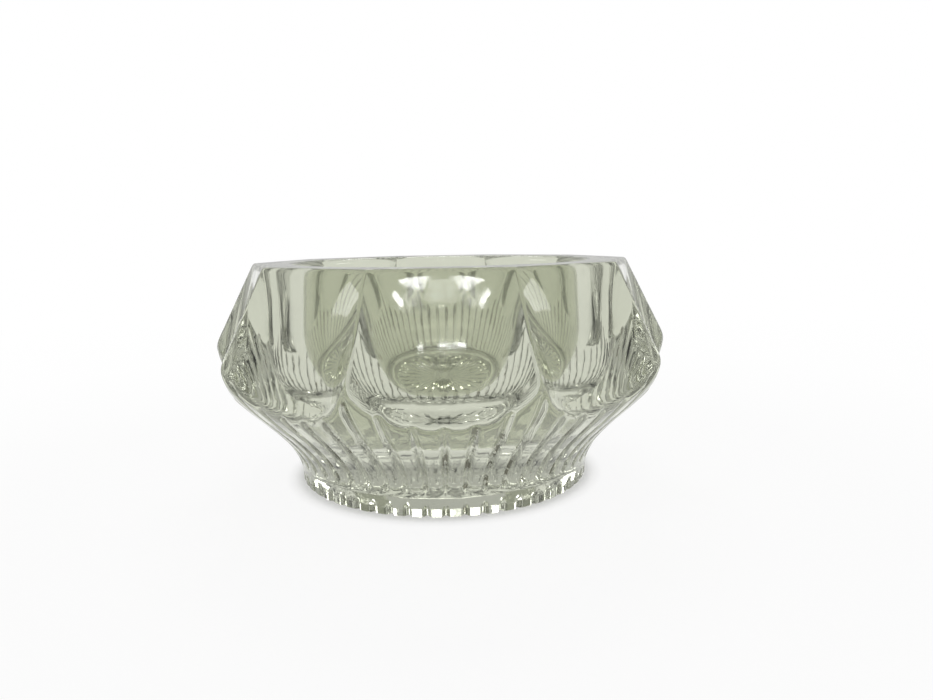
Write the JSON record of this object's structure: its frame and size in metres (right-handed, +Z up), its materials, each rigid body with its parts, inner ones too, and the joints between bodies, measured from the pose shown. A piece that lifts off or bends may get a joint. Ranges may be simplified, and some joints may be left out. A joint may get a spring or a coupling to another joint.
{
  "type": "salt cellar",
  "caption": "Open salt cellar of clear pressed glass with hollowed panels round its upper band, a ribbed underside and foot, a deep round bowl and a rayed star pressed under its base.",
  "frame": {"origin": "centre of the foot's flat resting ring, on the table plane", "axes": "+Z up along the dish's axis; -Y towards the viewer of the picture; +X to the viewer's right"},
  "size_m": [0.0734, 0.0698, 0.0344],
  "materials": {
    "clear_glass": "clear pressed glass with a faint grey-green tint, polished on the band and lip"
  },
  "bodies": {
    "root": {"glass_dish": "clear_glass"}
  },
  "joints": []
}
